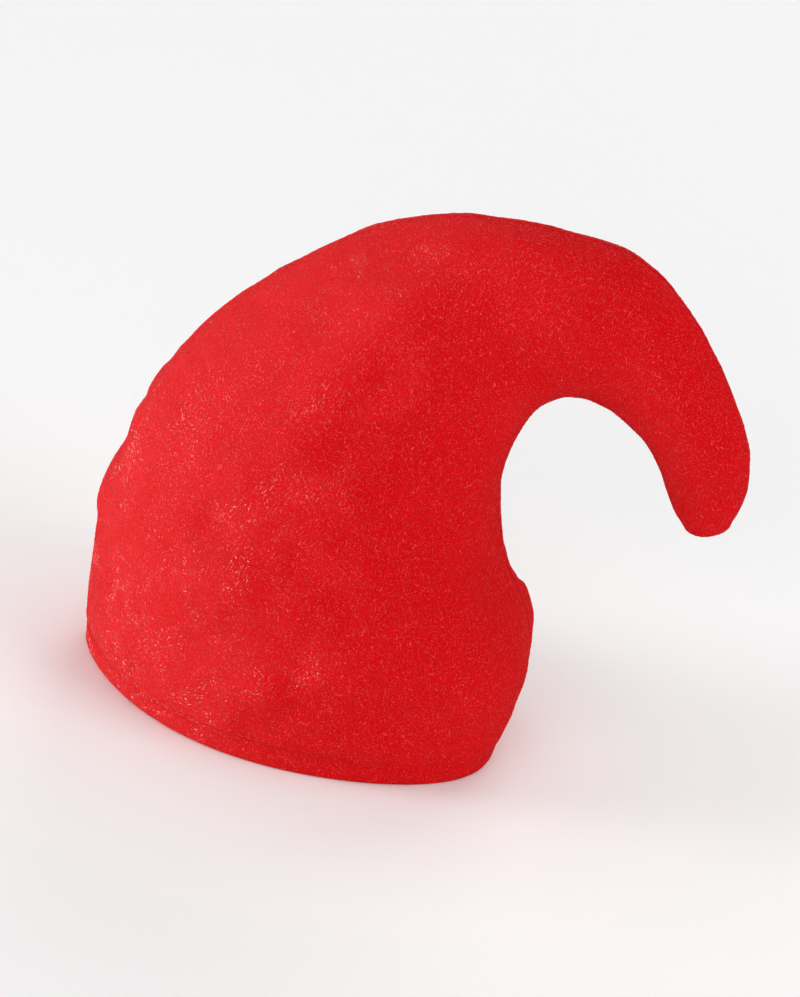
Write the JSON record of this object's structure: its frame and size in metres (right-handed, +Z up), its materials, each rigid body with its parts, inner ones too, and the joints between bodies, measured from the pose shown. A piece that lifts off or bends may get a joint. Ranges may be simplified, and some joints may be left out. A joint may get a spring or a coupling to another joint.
{
  "type": "felt gnome hat",
  "caption": "Soft felt hat of mirrored side panels sewn along the middle, with a turned-up hem and a peak that curls over and hangs down behind.",
  "frame": {"origin": "on the surface that the rim stands on, under the middle of the hat's bounding box", "axes": "+X from the brow to the nape, where the peak hangs; +Y across the head; +Z up, square to the rim"},
  "size_m": [0.2964, 0.1866, 0.2589],
  "materials": {
    "red_felt": "matt non-woven felt with short fibres"
  },
  "bodies": {
    "root": {"panel_left": "red_felt", "panel_right": "red_felt"}
  },
  "joints": []
}
